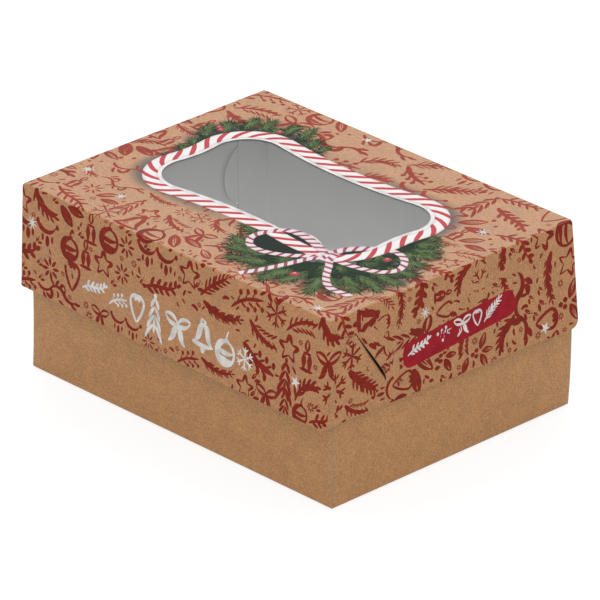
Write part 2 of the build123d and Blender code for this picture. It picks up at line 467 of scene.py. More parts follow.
# Colours of the board and its print
KRAFT_LID = (0.462, 0.216, 0.083)
KRAFT_TRAY = (0.468, 0.230, 0.080)
BOARD_SHEEN, INK_SHEEN = 0.45, 0.18  # specular levels
SHADE_WHITE, SHADE_RED = (0.50, 0.36, 0.38), (0.22, 0.012, 0.022)
SHADE_HALF, SHADE_CORNER, SHADE_FADE = (75.0, 41.5), 22.0, 5.0  # of the soft dark print round the border
FIR_SHADE = [  # rounds of it under the fir: place, and the radii between which it fades
    (50.0, -38.0, 15.0, 34.0), (30.0, -44.0, 9.0, 24.0), (74.0, -24.0, 11.0, 25.0), (72.0, -2.0, 6.0, 17.0),
    (-66.0, 22.0, 16.0, 27.0), (-50.0, 36.0, 10.0, 21.0), (-72.0, 0.0, 4.0, 13.0),
]


# Shader arithmetic

def maths(operation, reflected=False):
    """A method that joins a socket and another value, or none, in a maths node."""
    def method(self, *others):
        terms = (*others, self) if reflected else (self, *others)
        return self.paint.node("ShaderNodeMath", {"operation": operation}, *terms)
    return method


class Value:
    """A shader socket that joins in plain arithmetic."""

    def __init__(self, paint, socket):
        self.paint, self.socket = paint, socket

    __add__ = __radd__ = maths("ADD")
    __sub__, __rsub__ = maths("SUBTRACT"), maths("SUBTRACT", reflected=True)
    __mul__ = __rmul__ = maths("MULTIPLY")
    __truediv__, __pow__, __abs__ = maths("DIVIDE"), maths("POWER"), maths("ABSOLUTE")
    above, sine, cosine = maths("MAXIMUM"), maths("SINE"), maths("COSINE")


class Nodes:
    """A node tree, with one way to add any node."""

    def __init__(self, tree):
        self.tree = tree

    def join(self, socket, value):
        if isinstance(value, Value):
            self.tree.links.new(value.socket, socket)
        elif isinstance(value, tuple) and len(value) == 3 and socket.type == "RGBA":
            socket.default_value = (*value, 1)
        else:
            socket.default_value = value

    def node(self, kind, settings, *values, output=0, **named):
        """Any node: its settings first, then its sockets by place or by name."""
        node = self.tree.nodes.new(kind)
        for name, value in settings.items():
            setattr(node, name, value)
        for index, value in enumerate(values):
            self.join(node.inputs[index], value)
        for name, value in named.items():
            self.join(node.inputs[name.replace("_", " ")], value)
        return Value(self, node.outputs[output])

    def outputs(self, kind, names, *values):
        """Several outputs of one new node."""
        node = self.node(kind, {}, *values).socket.node
        return [Value(self, node.outputs[name]) for name in names]

    def shown(self):
        """1 where the surface is looked at, also in a mirror or through film, and 0 where it gives light."""
        seen, mirrored, through = self.outputs("ShaderNodeLightPath", ("Is Camera Ray", "Is Glossy Ray",
                                                                       "Is Transmission Ray"))
        return seen.above(mirrored).above(through)

    def blend(self, share, a, b, how="MIX"):
        mix = self.node("ShaderNodeMix", {"data_type": "RGBA", "blend_type": how}, output=2)
        for index, value in ((0, share), (6, a), (7, b)):
            self.join(mix.socket.node.inputs[index], value)
        return mix

    def place(self):
        return self.node("ShaderNodeTexCoord", {}, output=3)

    def flat(self, name="blank"):
        return self.node("ShaderNodeUVMap", {"uv_map": name})

    def stretched(self, vector, scale):
        return self.node("ShaderNodeMapping", {"vector_type": "POINT"}, vector, Scale=scale)

    def noise(self, vector, size, detail=3.0, roughness=0.55):
        """Noise whose features are about size millimetres."""
        return self.node("ShaderNodeTexNoise", {}, Vector=vector, Scale=1 / (size * MM), Detail=detail,
                         Roughness=roughness)

    def ramp(self, value, low, high):
        """0 below low, 1 above high, smooth between."""
        return self.node("ShaderNodeMapRange", {"interpolation_type": "SMOOTHSTEP"},
                         value, low, high, 0.0, 1.0)

    def axes(self, vector):
        return self.outputs("ShaderNodeSeparateXYZ", (0, 1, 2), vector)

    def grey(self, tone, warmth=1.0):
        return self.node("ShaderNodeCombineColor", {}, tone, tone, tone * warmth)

    def bump(self, height, strength, distance):
        return self.node("ShaderNodeBump", {}, Strength=strength, Distance=distance, Height=height)


class Paint(Nodes):
    """A material and its Principled shader."""

    def __init__(self, name, **sockets):
        self.material = bpy.data.materials.new(name)
        self.material.use_nodes = True
        super().__init__(self.material.node_tree)
        self.shader = self.tree.nodes["Principled BSDF"]
        self.feed(**sockets)

    def feed(self, **sockets):
        for name, value in sockets.items():
            self.join(self.shader.inputs[name.replace("_", " ")], value)


def kraft(name, colour, printed=False):
    """Brown kraft liner: cloudy pulp, matted pale and dark fibres, specks and a calendered sheen."""
    paint = Paint(name, Specular_IOR_Level=BOARD_SHEEN)
    spot = paint.flat()
    cloud = paint.noise(spot, 9.0, 3.0, 0.6)
    along = paint.noise(paint.stretched(spot, (1.0, 4.5, 1.0)), 3.2, 3.0)
    across = paint.noise(paint.stretched(spot, (4.0, 1.0, 1.0)), 2.4, 2.0)
    grain = paint.noise(spot, 0.75, 2.0, 0.7)
    speck = paint.noise(spot, 1.1, 1.0)
    tone = 0.5 * cloud + 0.7 * along + 0.8 * across + 1.4 * grain - 0.7
    base = paint.blend(1.0, colour, paint.grey(tone), "MULTIPLY")
    dark = tuple(c * 0.55 for c in colour)
    pale = tuple(min(c * 1.25 + 0.03, 1.0) for c in colour)
    base = paint.blend(paint.ramp(speck, 0.60, 0.70) * 0.5, base, dark)
    base = paint.blend(paint.ramp(along, 0.58, 0.70) * 0.4, base, pale)
    if printed:
        base = paint.blend(border_shade(paint, spot), base, (0.012, 0.018, 0.012))
    paint.feed(Base_Color=base, Roughness=0.38 + 0.14 * cloud,
               Normal=paint.bump(0.6 * grain + along, 0.3, 0.00008))
    return paint.material


def border_shade(paint, spot):
    """The soft dark print round the window's border, on the blank: deepest by two opposite corners."""
    u, v = paint.axes(spot)[:2]
    across, along = u / MM - WINDOW_MIDDLE.x, v / MM - WINDOW_MIDDLE.y
    beyond_x = (abs(across) - (SHADE_HALF[0] - SHADE_CORNER)).above(0.0)
    beyond_y = (abs(along) - (SHADE_HALF[1] - SHADE_CORNER)).above(0.0)
    beyond = (beyond_x**2 + beyond_y**2) ** 0.5
    near = 1 - paint.ramp(beyond, SHADE_CORNER - 3.0, SHADE_CORNER + SHADE_FADE)
    shade = (0.2 + 0.7 * paint.ramp(abs(across / 60 + along / 60), 0.55, 1.35)) * near
    for x, y, inner, outer in FIR_SHADE:
        away = ((u / MM - x) ** 2 + (v / MM - y) ** 2) ** 0.5
        shade = shade.above(0.95 * (1 - paint.ramp(away, inner, outer)))
    return shade


def white_back(name, painted_slit_shade=False):
    """The inner side: a bleached white liner; in the tray, with a painted dark line of shade down each end
    wall where its locking tab goes through.
    """
    paint = Paint(name, Roughness=0.7, Specular_IOR_Level=0.3)
    spot = paint.flat()
    cloud = paint.noise(spot, 14.0, 3.0)
    fleck = paint.noise(paint.stretched(spot, (1.0, 4.0, 1.0)), 1.2, 3.0)
    tone = 0.775 + 0.06 * cloud + 0.05 * fleck
    if painted_slit_shade:
        u, v = paint.axes(spot)[:2]
        # painted shade: a dark line down each end wall through its slit
        away = abs(abs(v) / MM - (TRAY_Y - LOCK_REACH + 0.4))
        tone = tone - 0.3 * (1 - paint.ramp(away, 0.15, 0.6)) * paint.ramp(abs(u) / MM, TRAY_X, TRAY_X + 1)
    paint.feed(Base_Color=paint.grey(tone, 0.99), Normal=paint.bump(fleck, 0.2, 0.00005))
    return paint.material


def cut_edge(name, colour):
    """The cut through the board: grey plies."""
    paint = Paint(name, Roughness=0.85)
    ply = paint.noise(paint.place(), 0.5, 2.0)
    paint.feed(Base_Color=paint.blend(0.4 * ply, colour, tuple(c * 0.7 for c in colour)))
    return paint.material


def ink(name, colour, worn, sheen=INK_SHEEN):
    """Printed ink that lets a little of the fibre through; also laid as painted shade in the slits."""
    paint = Paint(name, Roughness=0.5, Specular_IOR_Level=sheen)
    spot = paint.place()
    grain = paint.noise(spot, 0.6, 3.0, 0.7)
    cloud = paint.noise(spot, 5.0, 2.0)
    base = paint.blend(0.7 * paint.ramp(cloud, 0.35, 0.7), colour, tuple(c * 0.66 for c in colour))
    base = paint.blend(paint.ramp(grain, 0.54, 0.74) * worn, base, KRAFT_LID)
    paint.feed(Base_Color=base, Normal=paint.bump(grain, 0.2, 0.00004))
    return paint.material


def striped(name, red, white, half, period, share, slant, swell):
    """White with slanted red stripes, slimmer by swell at the cord's edges, shaded as if round."""
    paint = Paint(name, Roughness=0.45, Specular_IOR_Level=INK_SHEEN)
    along, across = paint.axes(paint.flat("stroke"))[:2]
    edge = across / (half * MM)
    turn = (along / MM + slant * half * edge) * (math.tau / period)
    level = math.pi * share * (1 - swell * edge * edge)
    stripe = paint.ramp(turn.sine(), level.cosine() - 0.12, level.cosine() + 0.12)
    shade = paint.ramp(abs(edge), 0.5, 1.05)
    colour = paint.blend(stripe, white, red)
    colour = paint.blend(0.45 * shade, colour, paint.blend(stripe, SHADE_WHITE, SHADE_RED))
    paint.feed(Base_Color=colour)
    return paint.material


def clear_film():
    """Thin clear film: it lets the light through and mirrors the white room, more so at a low angle."""
    paint = Paint("clear_film", Base_Color=(1, 1, 1), Metallic=1.0, Roughness=0.08)
    ripple = paint.noise(paint.place(), 40.0, 1.0)
    facing = paint.node("ShaderNodeLayerWeight", {}, output=1)
    paint.feed(Alpha=0.015 + 0.9 * facing**5, Normal=paint.bump(ripple, 0.3, 0.0006))
    return paint.material


# The two folded sheets

def ear_outline():
    """The ear past the corner, as pairs of reach and drop, from its head to its foot."""
    neck_top, neck_foot = by_slit(SLIT_SLACK, 0.0), by_slit(SLIT_LENGTH - SLIT_SLACK, 0.0)
    tip = by_slit(SLIT_LENGTH / 2, TIP_BULGE)
    shoulder = arc_through(EAR_HEAD, EAR_SHOULDER, neck_top, 12)
    return shoulder[:-1] + arc_through(neck_top, tip, neck_foot, 16) + [(EAR_FOOT_REACH, DROP)]


def on_ear(side, reach, drop):
    """A place on the ear, given in the side view, on the blank."""
    lean = front_lean(side * CORNER)
    return side * (CORNER + reach + lean * drop / DROP), FRONT - drop


def on_panel(middle):
    """Whether a place of the blank is well inside the lid's panel, as the window is."""
    ends, long_sides = PANEL_RIM
    return abs(middle.x) < HALF - ends and FRONT + long_sides < middle.y < BACK - long_sides


def lid_sheet(finishes):
    """The lid's panel, three skirts and two ears in one sheet."""
    bm = filled([lid_outline(), aperture(0.0), *lid_slits()])
    score(bm, crease_lines((-HALF, HALF, -CORNER, CORNER), "u") + crease_lines((FRONT,), "v"))
    low = HALF + DROP
    score(bm, grid_lines(-low, low, LID_GRID, "u") + grid_lines(FRONT - DROP, BACK, LID_GRID, "v"))
    for side in (-1, 1):
        lines = []
        for shift in TUCK_STEPS:
            a, b = (on_ear(side, *by_slit(along, shift)) for along in (0.0, 1.0))
            lines.append((a, (a[1] - b[1], b[0] - a[0])))
        score(bm, lines, lambda middle: side * middle.x > CORNER + 4 and middle.y < FRONT)
    make_board(bm, on_panel)
    lay_on(bm, fold_lid)
    sheet = piece(bm, "lid_sheet", "lid", finishes)
    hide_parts("lid_top", "lid_front_skirt", "lid_left_skirt", "lid_right_skirt",
                "lid_left_ear", "lid_right_ear")


def lid_outline():
    """The lid's outline on the blank, anticlockwise from the right skirt's front end."""
    low, cut = HALF + DROP, SKIRT_CORNER * (1 - math.sqrt(0.5))
    rim = arc_through((low, BACK_EDGE - SKIRT_CORNER), (low - cut, BACK_EDGE - cut),
                      (low - SKIRT_CORNER, BACK_EDGE), 6)
    right = [(HALF, FRONT + WALL_GAP), (low, FRONT + WALL_GAP), *rim]
    ear = ear_outline()
    return [*right, *((-u, v) for u, v in reversed(right)), (-HALF, FRONT),
            *(on_ear(-1, *p) for p in ear), *(on_ear(1, *p) for p in reversed(ear)), (HALF, FRONT)]


def lid_slits():
    """The two slanted slits, pointed at both ends and wider at the foot."""
    low = SLIT_LENGTH - SLIT_SLACK
    shape = ((0.0, 0.0), (SLIT_SLACK, -SLIT_OPEN_TOP), (low, -SLIT_OPEN_FOOT),
             (SLIT_LENGTH, 0.0), (low, SLIT_OPEN_FOOT), (SLIT_SLACK, SLIT_OPEN_TOP))
    hole = [by_slit(*place) for place in shape]
    return [[(side * (HALF + drop), FRONT + reach) for reach, drop in hole] for side in (-1, 1)]


def tray_outline():
    """The tray's outline on the blank, with its locking tabs."""
    tab = arc_through((LOCK_REACH, TAB_MIDDLE - TAB_HALF), (LOCK_REACH + TAB_BULGE, TAB_MIDDLE),
                      (LOCK_REACH, TAB_MIDDLE + TAB_HALF), 16)
    wall, outline = TRAY_Y - WALL_GAP, []
    for end, head in ((-1, WALL), (1, TOP - CREASE)):
        flap = [(0.0, 0.0), (0.0, LOCK_FOOT), *tab, (0.0, LOCK_HEAD), (0.0, head)]
        for side in (end, -end):
            points = [(side * (TRAY_X + WALL), end * wall), (side * TRAY_X, end * wall),
                      *((side * (TRAY_X + reach), end * (TRAY_Y + rise)) for reach, rise in flap)]
            outline += points if side == end else points[::-1]
    return outline


def tray_slit(side, end):
    """The slit in an end wall that takes a locking tab."""
    middle = (side * (TRAY_X + TAB_MIDDLE), end * (TRAY_Y - LOCK_REACH))
    return [(middle[0] + side * h * TAB_SLIT_HALF, middle[1] + w * TAB_SLIT_OPEN)
            for h, w in ((-1, -1), (1, -1), (1, 1), (-1, 1))]


def tray_sheet(finishes):
    """The tray's bottom, four walls and four locking flaps in one sheet."""
    bm = filled([tray_outline(), *(tray_slit(side, end) for side in (-1, 1) for end in (-1, 1))])
    score(bm, crease_lines((-TRAY_X, TRAY_X), "u")
          + crease_lines((-TRAY_CORNER, TRAY_CORNER), "u", FLAP_FOLD))
    score(bm, crease_lines((-TRAY_Y, TRAY_Y), "v"))
    score(bm, [line for axis, reach in (("u", TRAY_X + WALL), ("v", TRAY_Y + WALL))
               for line in grid_lines(-reach, reach, TRAY_GRID, axis)])
    slits = [side * (TRAY_X + LOCK_REACH + shift) for side in (-1, 1) for shift in TUCK_STEPS]
    score(bm, [line_at(place, "u") for place in slits], lambda middle: abs(middle.y) > TRAY_Y)
    make_board(bm)
    lay_on(bm, fold_tray)
    sheet = piece(bm, "tray_sheet", "tray", finishes)
    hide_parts("tray_bottom", "tray_front_wall", "tray_back_wall", "tray_left_wall",
                "tray_right_wall", "tray_front_left_lock", "tray_front_right_lock",
                "tray_back_left_lock", "tray_back_right_lock")


# The brush print: rows of festive sprigs and ornaments. A mark is a start, a heading in turns, and runs
# of length, first bend and last bend, with lengths in row heights and bends in turns per row height.
# A mark with a fifth number is a filled bud, and that is its half width.
BRUSH_THIN, BRUSH_THICK = 0.08, 0.18  # widths, in row heights
STAR_REACH, STAR_WAIST = 0.48, 0.22


def flow(start, heading, runs, size, least=1):
    """Points and headings along bending runs."""
    x, y = start
    angle = heading * math.tau
    path = [(x, y, angle)]
    for length, first, last in runs:
        count = max(least, math.ceil(length * 9), math.ceil(length * max(abs(first), abs(last)) * 18))
        step = length / count
        for i in range(count):
            turn = (first + (last - first) * (i + 0.5) / count) * step * math.tau
            x += math.cos(angle + turn / 2) * step * size
            y += math.sin(angle + turn / 2) * step * size
            angle += turn
            path.append((x, y, angle))
    return path


def ring(x, y, radius):
    bend = 1 / (math.tau * radius)
    return (x, y + radius, 0.5, [(math.tau * radius, bend, bend)])


def dot(x, y, radius):
    return (x - radius, y, 0.0, [(2 * radius, 0.0, 0.0)], radius)


def bud(x, y, heading, length, half, bend=0.0):
    """A filled leaf."""
    return (x, y, heading, [(length, bend, bend)], half)


def leaf(x, y, heading, length, fat=0.09):
    """A leaf in outline, with its rib."""
    bend = 2 * fat / length
    return [(x, y, heading + fat, [(length, -bend, -bend)]), (x, y, heading - fat, [(length, bend, bend)]),
            bud(x, y, heading, 0.7 * length, 0.022)]


def sprig(x, y, heading, runs, pairs, length, half, spread, bare=0.12):
    """A stem with leaves in pairs, shorter towards its tip."""
    stem = flow((x, y), heading, runs, 1.0)
    marks = [(x, y, heading, runs)]
    for k in range(pairs):
        share = bare + (1 - bare) * k / pairs
        for side in (-1, 1):
            at = min(share + (side + 1) * 0.25 * (1 - bare) / pairs, 1.0)
            px, py, angle = stem[round(at * (len(stem) - 1))]
            marks.append(bud(px, py, angle / math.tau + side * spread, length * (1 - 0.35 * share), half,
                             -0.25 * side * spread / length))
    px, py, angle = stem[-1]
    return marks + [bud(px, py, angle / math.tau, 0.6 * length, half)]


def spokes(x, y, arms, inner, length, half, start=0.02):
    """Buds that point away from a middle."""
    return [bud(*polar(x, y, inner, start + i / arms), start + i / arms, length, half)
            for i in range(arms)]


def point(x, y, heading):
    """The two edges of one point of an outline star."""
    tip = polar(x, y, STAR_REACH, heading)
    edges = []
    for side in (-0.1, 0.1):
        foot = polar(x, y, STAR_WAIST, heading + side)
        run, rise = foot[0] - tip[0], foot[1] - tip[1]
        edges.append((*tip, math.atan2(rise, run) / math.tau, [(math.hypot(run, rise), 0.0, 0.0)]))
    return edges


MOTIFS = {
    "laurel": sprig(0.0, 0.25, 0.10, [(0.9, -0.12, -0.08), (0.8, 0.08, 0.14)], 5, 0.42, 0.06, 0.15),
    "fern": sprig(0.0, 0.0, 0.14, [(0.8, -0.05, -0.05), (0.7, -0.05, 0.08)], 7, 0.44, 0.034, 0.12),
    "fir_twig": sprig(0.0, 0.75, -0.07, [(0.8, 0.03, 0.12), (0.85, 0.12, 0.02)], 10, 0.34, 0.024, 0.12),
    "willow": sprig(0.1, 1.05, -0.21, [(0.6, 0.1, 0.2), (0.6, 0.25, 0.1)], 5, 0.46, 0.042, 0.10),
    "berries": [(0.0, 0.05, 0.13, [(0.9, -0.08, -0.1), (0.6, -0.1, 0.1)]),
                *((0.25 + 0.30 * i, 0.26 + 0.12 * i, 0.22, [(0.3, -0.1, -0.1)]) for i in range(3)),
                *(dot(0.36 + 0.30 * i, 0.64 + 0.10 * i, 0.085) for i in range(3)),
                *((0.42 + 0.30 * i, 0.32 + 0.10 * i, -0.08, [(0.22, 0.1, 0.1)]) for i in range(3)),
                *(dot(0.70 + 0.30 * i, 0.2 + 0.09 * i, 0.08) for i in range(3))],
    "holly": [*leaf(0.62, 0.42, 0.43, 0.66, 0.1), *leaf(0.82, 0.44, 0.07, 0.66, 0.1),
              *leaf(0.72, 0.5, 0.24, 0.55, 0.1),
              *(dot(x, y, 0.09) for x, y in ((0.62, 0.24), (0.84, 0.22), (0.73, 0.05)))],
    "tree": [*(bud(0.45, 1.04 - 0.27 * i, -0.25 + s * (0.1 + 0.012 * i), 0.38 + 0.1 * i, 0.05, -s * 0.12)
               for i in range(4) for s in (-1, 1)), bud(0.45, 0.42, -0.25, 0.5, 0.045), dot(0.45, 1.1, 0.07)],
    "heart": [(0.5, 0.0, 0.365, [(0.68, -0.12, -0.12), (0.64, -0.8, -0.72)]),
              (0.5, 0.0, 0.135, [(0.68, 0.12, 0.12), (0.64, 0.8, 0.72)])],
    "burst": spokes(0.4, 0.45, 8, 0.10, 0.30, 0.042),
    "snow": [*spokes(0.48, 0.5, 6, 0.0, 0.48, 0.035, 0.083),
             *(bud(*polar(0.48, 0.5, 0.27, 0.083 + i / 6), 0.083 + i / 6 + s * 0.13, 0.22, 0.026)
               for i in range(6) for s in (-1, 1))],
    "star": [edge for i in range(5) for edge in point(0.46, 0.46, 0.25 + i / 5)],
    "bauble": [ring(0.42, 0.38, 0.36), (0.40, 0.80, 0.22, [(0.3, -0.1, -0.1)]),
               bud(0.31, 0.78, 0.0, 0.22, 0.05), (0.10, 0.45, -0.07, [(0.68, 0.2, 0.2)]),
               (0.14, 0.24, -0.07, [(0.6, 0.2, 0.2)])],
    "bell": [(0.47, 0.95, -0.46, [(0.3, 0.75, 0.5), (0.5, -0.15, -0.4)]),
             (0.45, 0.95, -0.04, [(0.3, -0.75, -0.5), (0.5, 0.15, 0.4)]),
             (-0.02, 0.3, -0.03, [(0.95, 0.07, 0.07)]), dot(0.46, 0.14, 0.1), ring(0.46, 1.02, 0.06)],
    "ribbon": [*leaf(0.66, 0.55, 0.44, 0.66, 0.13)[:2], *leaf(0.66, 0.55, 0.06, 0.66, 0.13)[:2],
               (0.62, 0.5, -0.33, [(0.35, 0.1, 0.1), (0.3, -0.5, -0.3)]),
               (0.70, 0.5, -0.17, [(0.35, -0.1, -0.1), (0.3, 0.5, 0.3)]), dot(0.66, 0.54, 0.09)],
    "swag": [*((0.9 * i, 0.85, -0.17, [(1.01, 0.337, 0.337)]) for i in range(2)),
             *(dot(0.9 * i, 0.88, 0.08) for i in range(3)),
             *(bud(0.45 + 0.9 * i, 0.50, -0.25, 0.40, 0.075) for i in range(2)),
             *(bud(0.45 + s * 0.22 + 0.9 * i, 0.52, -0.25, 0.26, 0.045) for i in range(2) for s in (-1, 1))],
    "vine": [(0.0, 0.35, 0.14, [(0.85, -0.33, -0.33), (0.9, 0.33, 0.33), (0.85, -0.33, -0.33)]),
             bud(0.30, 0.60, 0.20, 0.42, 0.07, -0.25), bud(0.46, 0.62, 0.10, 0.42, 0.07, -0.25),
             bud(1.02, 0.18, -0.20, 0.36, 0.07, 0.3), bud(0.92, 0.2, -0.32, 0.34, 0.06, -0.3),
             bud(1.9, 0.6, 0.13, 0.42, 0.07, -0.25), bud(2.1, 0.56, 0.02, 0.4, 0.06, -0.2),
             (0.72, 0.36, 0.12, [(0.4, 0.4, 0.9), (0.3, 1.3, 1.9)]),
             (1.45, 0.42, -0.1, [(0.4, -0.4, -0.9), (0.3, -1.3, -1.9)])],
    "leaves": [*leaf(0.0, 0.1, 0.13, 0.9, 0.09), *leaf(0.36, 0.02, 0.03, 0.85, 0.08), dot(0.62, 0.9, 0.07),
               dot(0.92, 0.66, 0.06)],
    "flame": [*leaf(0.2, 0.62, 0.25, 0.42, 0.13)[:2], bud(0.02, 0.56, 0.0, 0.38, 0.04),
              *((x, 0.52, -0.25, [(0.5, 0.0, 0.0)]) for x in (0.08, 0.34)), bud(-0.1, 0.0, 0.0, 0.62, 0.05)],
    "bough": [(0.0, 0.9, -0.14, [(0.7, 0.1, 0.1), (0.8, 0.05, 0.2)]),
              *(bud(0.12 + 0.2 * i, 0.74 - 0.11 * i + 0.012 * i * i, -0.23 + 0.015 * i, 0.38, 0.036, 0.1)
                for i in range(6)),
              *(bud(0.22 + 0.2 * i, 0.76 - 0.10 * i + 0.012 * i * i, 0.03 + 0.02 * i, 0.36, 0.036, -0.1)
                for i in range(5))],
}
FLIPPED = ("laurel", "fern", "fir_twig", "willow", "berries", "vine", "leaves", "bough")


def brushed(path, size, weight):
    """Points with half widths: heavy on the way down, light on the way up, tapered at both ends."""
    last = len(path) - 1
    stroke = []
    for i, (x, y, angle) in enumerate(path):
        heavy = (0.5 - 0.5 * math.sin(angle)) ** 1.2
        taper = min(1.0, 0.5 + 0.25 * i, 0.35 + 0.22 * (last - i))
        stroke.append((x, y, 0.5 * size * weight * taper * (BRUSH_THIN + (BRUSH_THICK - BRUSH_THIN) * heavy)))
    return stroke


def plump(path, half):
    """Points with the half widths of a bud."""
    last = len(path) - 1
    return [(x, y, half * max(math.sqrt(1 - (2 * i / last - 1) ** 2), 0.12))
            for i, (x, y, _) in enumerate(path)]


def motif(name, left, base, size, flip, weight):
    """The strokes of one motif, standing on a base line, and how far they reach to the right."""
    strokes = []
    for x, y, heading, runs, *half in MOTIFS[name]:
        if flip:
            y, heading, runs = 1 - y, -heading, [(length, -a, -b) for length, a, b in runs]
        path = flow((x * size, base + y * size), heading, runs, size, 5 if half else 1)
        strokes.append(plump(path, half[0] * size * weight) if half else brushed(path, size, weight))
    shift = left - min(x - half for stroke in strokes for x, _, half in stroke)
    strokes = [[(x + shift, y, half) for x, y, half in stroke] for stroke in strokes]
    return strokes, max(x + half for stroke in strokes for x, _, half in stroke)


# The field of the red print, and the white marks over it
ROW_PITCH = 13.2
PRINT_HOLE = 3.0  # how far from the window's edge the print ends
FIRST_ROWS = (11.4, 15.2, 13.4, 13.6)  # the front skirt's, from its edge up, round the white row
FIRST_BASE = 1.8  # how far below the edge the first row stands
FLIP_SHARE = 0.4
ROW_SIZES, ROW_WEIGHTS = (0.85, 1.0, 1.15), (0.95, 1.05, 1.2)
TOP_WEIGHT, SKIRT_WEIGHT, WHITE_WEIGHT, TAG_WEIGHT = 0.9, 1.12, 1.25, 1.2
FILLER_TRIES, FILLER_SIZES, FILLER_WEIGHT = 9000, (3.6, 4.8, 6.2), 1.45
FILLED_RIM = (4.0, 20.0)  # how far onto the top they go, from its sides and front
SLIT_BARE = (-3.0, 1.3)  # how near a slit the skirt is bare, on its two sides
EAR_BARE = -1.2  # and where the print ends on the ear behind
SLIT_SHADE_PAST, SLIT_SHADE_HALF = 2.6, 2.1  # the painted shade's middle past a slit, and half its width
BARE_PATCHES = [  # room for the white row
    [(-60.5, -119), (48, -119), (48, -101.5), (-31, -101.5), (-33, -107), (-60.5, -107)]]
WHITE_ROW = (("laurel", 9.5), ("berries", 9.0), ("heart", 14.5), ("tree", 15.0), ("ribbon", 15.0),
             ("bell", 14.5), ("bauble", 15.0), ("snow", 12.0))
TAG_ROW = (("laurel", 8.0), ("berries", 8.5), ("ribbon", 9.5), ("heart", 8.5), ("fern", 8.6))
WHITE_START, TAG_START, TAG_SLANT = (-58.6, -118.0), (133.2, -31.0), 0.07
STARS = (  # place, size and arms
    (-90.3, -45.7, 6.2, 8), (-58.4, -54.6, 5.4, 8), (-25.2, 68.1, 5.0, 5), (81, 35.6, 6.2, 8),
    (86.0, -71.0, 5.6, 8), (-93, -94.2, 6.5, 8), (81.7, -110.8, 6.0, 5), (114.4, -19.8, 5.6, 8),
    (145, 52.6, 6.0, 5))


def rows(low, high, pitch, seed, blanks):
    """Rows of motifs over a field of the blank, some large and heavy, clear of its blank patches."""
    draw = random.Random(seed)
    strokes, sizes = [], list(FIRST_ROWS)
    base = low[1] - FIRST_BASE
    while base < high[1]:
        size = sizes.pop(0) if sizes else pitch * draw.choice(ROW_SIZES)
        weight = draw.choice(ROW_WEIGHTS)
        left = low[0] - draw.uniform(0, pitch)
        recent = []
        while left < high[0]:
            name = draw.choice([n for n in MOTIFS if n not in recent])
            flip = draw.random() < FLIP_SHARE and name in FLIPPED
            drawn, right = motif(name, left, base + draw.uniform(-0.04, 0.04) * size,
                                 size * draw.uniform(0.92, 1.1), flip, weight * draw.uniform(0.9, 1.1))
            points = [place for stroke in drawn for place in stroke[::2]]
            if any(within(blank, x, y) for blank in blanks for x, y, _ in points):
                left += 0.2 * size
                continue
            recent = [*recent[-3:], name]
            strokes += drawn
            left = right + size * draw.uniform(0.0, 0.07)
        base += 0.93 * size + 0.3
    return strokes


def fillers(strokes, low, high, seed, blanks):
    """Small marks in the open places that the rows leave on the skirts and near them."""
    draw = random.Random(seed)
    cell, taken, small = 4.0, {}, []

    def take(marks):
        for stroke in marks:
            for x, y, _ in stroke:
                taken.setdefault((x // cell, y // cell), []).append((x, y))

    def free(x, y, room):
        near = (place for i in (-1, 0, 1) for j in (-1, 0, 1)
                for place in taken.get((x // cell + i, y // cell + j), ()))
        return not any(math.dist((x, y), place) < room for place in near)

    take(strokes)
    for _ in range(FILLER_TRIES):
        x, y = draw.uniform(low[0], high[0]), draw.uniform(low[1], high[1])
        size, name = draw.choice(FILLER_SIZES), draw.choice(("burst", "leaves", "touch", "touch"))
        on_top = abs(x) < HALF - FILLED_RIM[0] and y > FRONT + FILLED_RIM[1]
        if on_top or not free(x, y, 0.6 * size):
            continue
        if name == "touch":
            heading, *bends = draw.random(), draw.uniform(-0.5, 0.5), draw.uniform(-0.5, 0.5)
            marks = [plump(flow((0, 0), heading, [(0.8, *bends)], size, 4), 0.13 * size)]
        else:
            marks = motif(name, 0.0, 0.0, size, False, FILLER_WEIGHT)[0]
        xs, ys = ([place[axis] for mark in marks for place in mark] for axis in (0, 1))
        dx, dy = x - (min(xs) + max(xs)) / 2, y - (min(ys) + max(ys)) / 2
        marks = [[(a + dx, b + dy, half) for a, b, half in mark] for mark in marks]
        if any(within(blank, a, b) for blank in blanks for mark in marks for a, b, _ in mark):
            continue
        small += marks
        take(marks)
    return small


def print_mesh(strokes, lift, step=0.0, mapped=False):
    """Strokes as thin flat slabs; each point has a place and a half width."""
    slab = bpy.data.curves.new("slab", "CURVE")
    slab.dimensions = "2D"
    edge = slab.splines.new("POLY")
    edge.points.add(3)
    for point, place in zip(edge.points, ((1, 0), (-1, 0), (-1, -INK_DEPTH), (1, -INK_DEPTH))):
        point.co = (*place, 0, 1)
    edge.use_cyclic_u = True
    slab_thing = bpy.data.objects.new("slab", slab)
    lines = bpy.data.curves.new("strokes", "CURVE")
    lines.dimensions, lines.twist_mode = "3D", "Z_UP"
    lines.bevel_mode, lines.bevel_object, lines.use_fill_caps = "OBJECT", slab_thing, True
    marks = []
    for number, stroke in enumerate(strokes):
        line = lines.splines.new("POLY")
        line.points.add(len(stroke) - 1)
        gone = 0.0
        for i, (point, (x, y, half)) in enumerate(zip(line.points, stroke)):
            if i:
                gone += math.dist(stroke[i - 1][:2], (x, y))
            point.co = (x, y, lift + step * ((7 * number + i) % 40), 1)
            point.radius = half
            marks.append((x, y, gone))
    thing = add_object("strokes", lines)
    made = bpy.data.meshes.new_from_object(thing.evaluated_get(bpy.context.evaluated_depsgraph_get()))
    bm = bmesh.new()
    bm.from_mesh(made)
    for layer in list(bm.loops.layers.uv):
        bm.loops.layers.uv.remove(layer)
    if mapped:
        stroke_map(bm, marks)
    bmesh.ops.remove_doubles(bm, verts=bm.verts[:], dist=1e-5)
    bmesh.ops.recalc_face_normals(bm, faces=bm.faces[:])
    for scratch in (thing, slab_thing):
        bpy.data.objects.remove(scratch)
    for scratch in (lines, slab):
        bpy.data.curves.remove(scratch)
    bpy.data.meshes.remove(made)
    return bm


